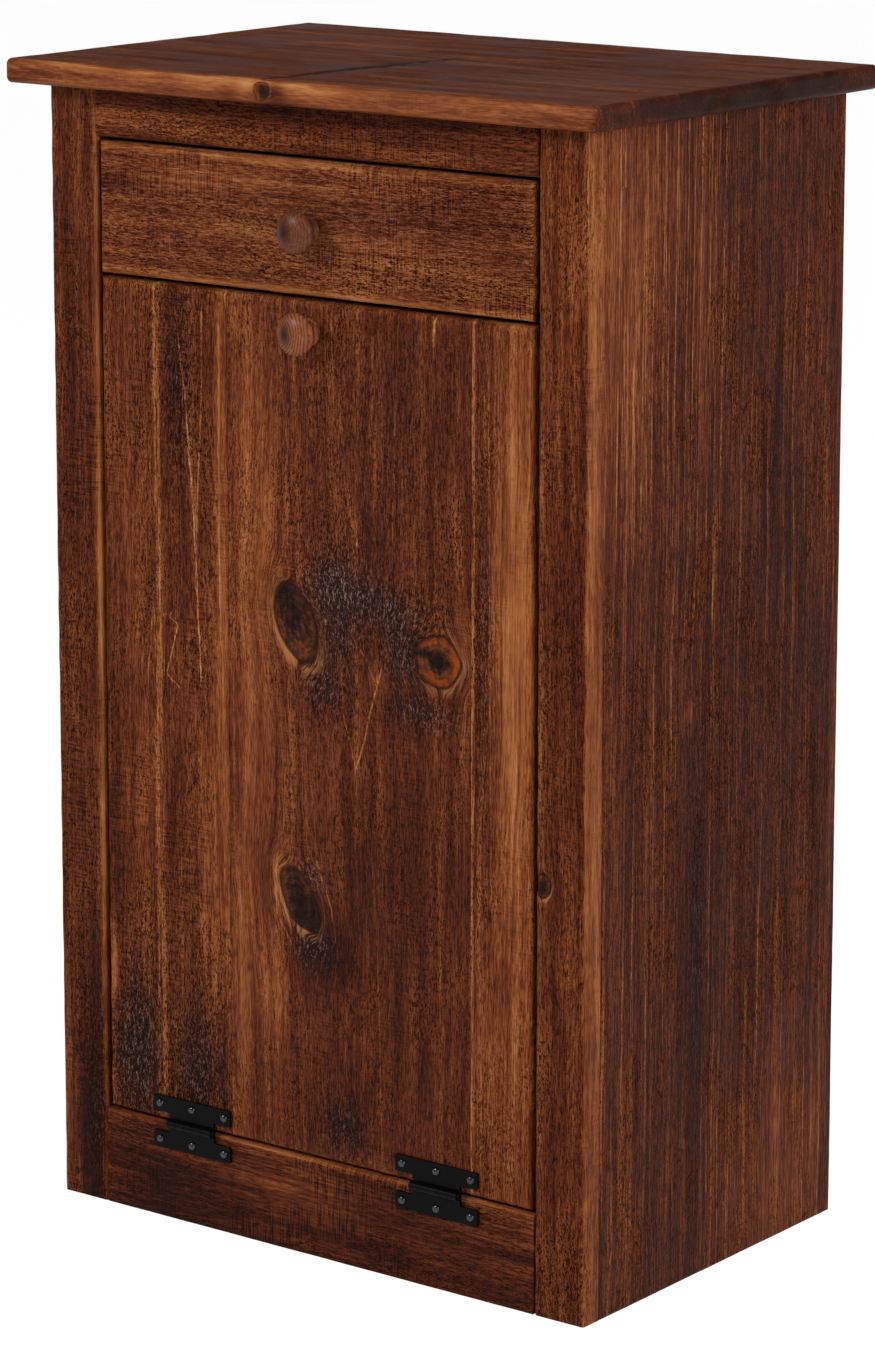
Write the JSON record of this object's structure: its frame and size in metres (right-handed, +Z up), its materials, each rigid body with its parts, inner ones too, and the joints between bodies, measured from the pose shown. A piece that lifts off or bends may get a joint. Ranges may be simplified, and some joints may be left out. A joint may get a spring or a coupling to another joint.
{
  "type": "tilt-out trash cabinet",
  "caption": "Stained pine cabinet with a drawer over a bottom-hinged door that tilts out with a lift-out bin.",
  "frame": {"origin": "point of the floor under the middle of the top board", "axes": "+X to the viewer's right when facing the doors, +Y to the back, +Z up"},
  "size_m": [0.544, 0.36, 0.889],
  "materials": {
    "stained_pine": "walnut stain, satin varnish over sawn grain",
    "knob_wood": "walnut stain, satin varnish on turned wood",
    "raw_pine": "planed, unstained",
    "plywood": "thin plywood, unstained",
    "hinge_black": "black powder coat",
    "zinc_steel": "zinc plated",
    "magnet": "sintered magnet",
    "catch_plastic": "moulded",
    "bin_plastic": "moulded, fine grain"
  },
  "bodies": {
    "cabinet": {"back_panel": "plywood", "bottom_rail": "stained_pine", "catch_block": "raw_pine", "catch_housing": "catch_plastic", "catch_magnet": "magnet", "catch_screws": "zinc_steel", "drawer_runner_left": "raw_pine", "drawer_runner_right": "raw_pine", "floor_board": "raw_pine", "hinge_pin_left": "hinge_black", "hinge_pin_right": "hinge_black", "hinge_rail_leaf_left": "hinge_black", "hinge_rail_leaf_right": "hinge_black", "hinge_rail_screws": "hinge_black", "rear_rail": "raw_pine", "runner_screws": "zinc_steel", "side_panel_left": "stained_pine", "side_panel_right": "stained_pine", "stile_left": "stained_pine", "stile_right": "stained_pine", "top_board": "stained_pine", "top_cleat_left": "raw_pine", "top_cleat_right": "raw_pine", "top_rail": "stained_pine", "top_screws": "zinc_steel"},
    "door": {"door_plank_outer_left": "stained_pine", "door_plank_inner_left": "stained_pine", "door_plank_wide": "stained_pine", "door_plank_right": "stained_pine", "door_batten_bottom": "raw_pine", "door_batten_middle": "raw_pine", "door_batten_top": "raw_pine", "batten_screws": "zinc_steel", "carrier_side_left": "raw_pine", "carrier_side_right": "raw_pine", "carrier_floor": "raw_pine", "carrier_rail_lower": "raw_pine", "carrier_rail_upper": "raw_pine", "carrier_screws": "zinc_steel", "stop_cleat_left": "raw_pine", "stop_cleat_right": "raw_pine", "door_knob": "knob_wood", "door_knob_screw": "zinc_steel", "hinge_door_leaf_left": "hinge_black", "hinge_door_leaf_right": "hinge_black", "hinge_door_screws": "hinge_black", "strike_plate": "zinc_steel", "strike_screws": "zinc_steel"},
    "bin": {"waste_bin": "bin_plastic"},
    "drawer": {"drawer_front": "stained_pine", "drawer_side_left": "raw_pine", "drawer_side_right": "raw_pine", "drawer_back": "raw_pine", "drawer_bottom": "plywood", "drawer_stop_left": "raw_pine", "drawer_stop_right": "raw_pine", "drawer_knob": "knob_wood", "drawer_knob_screw": "zinc_steel"}
  },
  "joints": [
    {"name": "door_tilt", "type": "hinge", "parent": "cabinet", "child": "door", "pos_m": [0, -0.1585, 0.0771], "axis": [1, 0, 0], "range_deg": [0, 36]},
    {"name": "bin_lift", "type": "slide", "parent": "door", "child": "bin", "axis": [0, 0, 1], "range_m": [0, 0.1]},
    {"name": "drawer_slide", "type": "slide", "parent": "cabinet", "child": "drawer", "axis": [0, -1, 0], "range_m": [0, 0.2]}
  ]
}
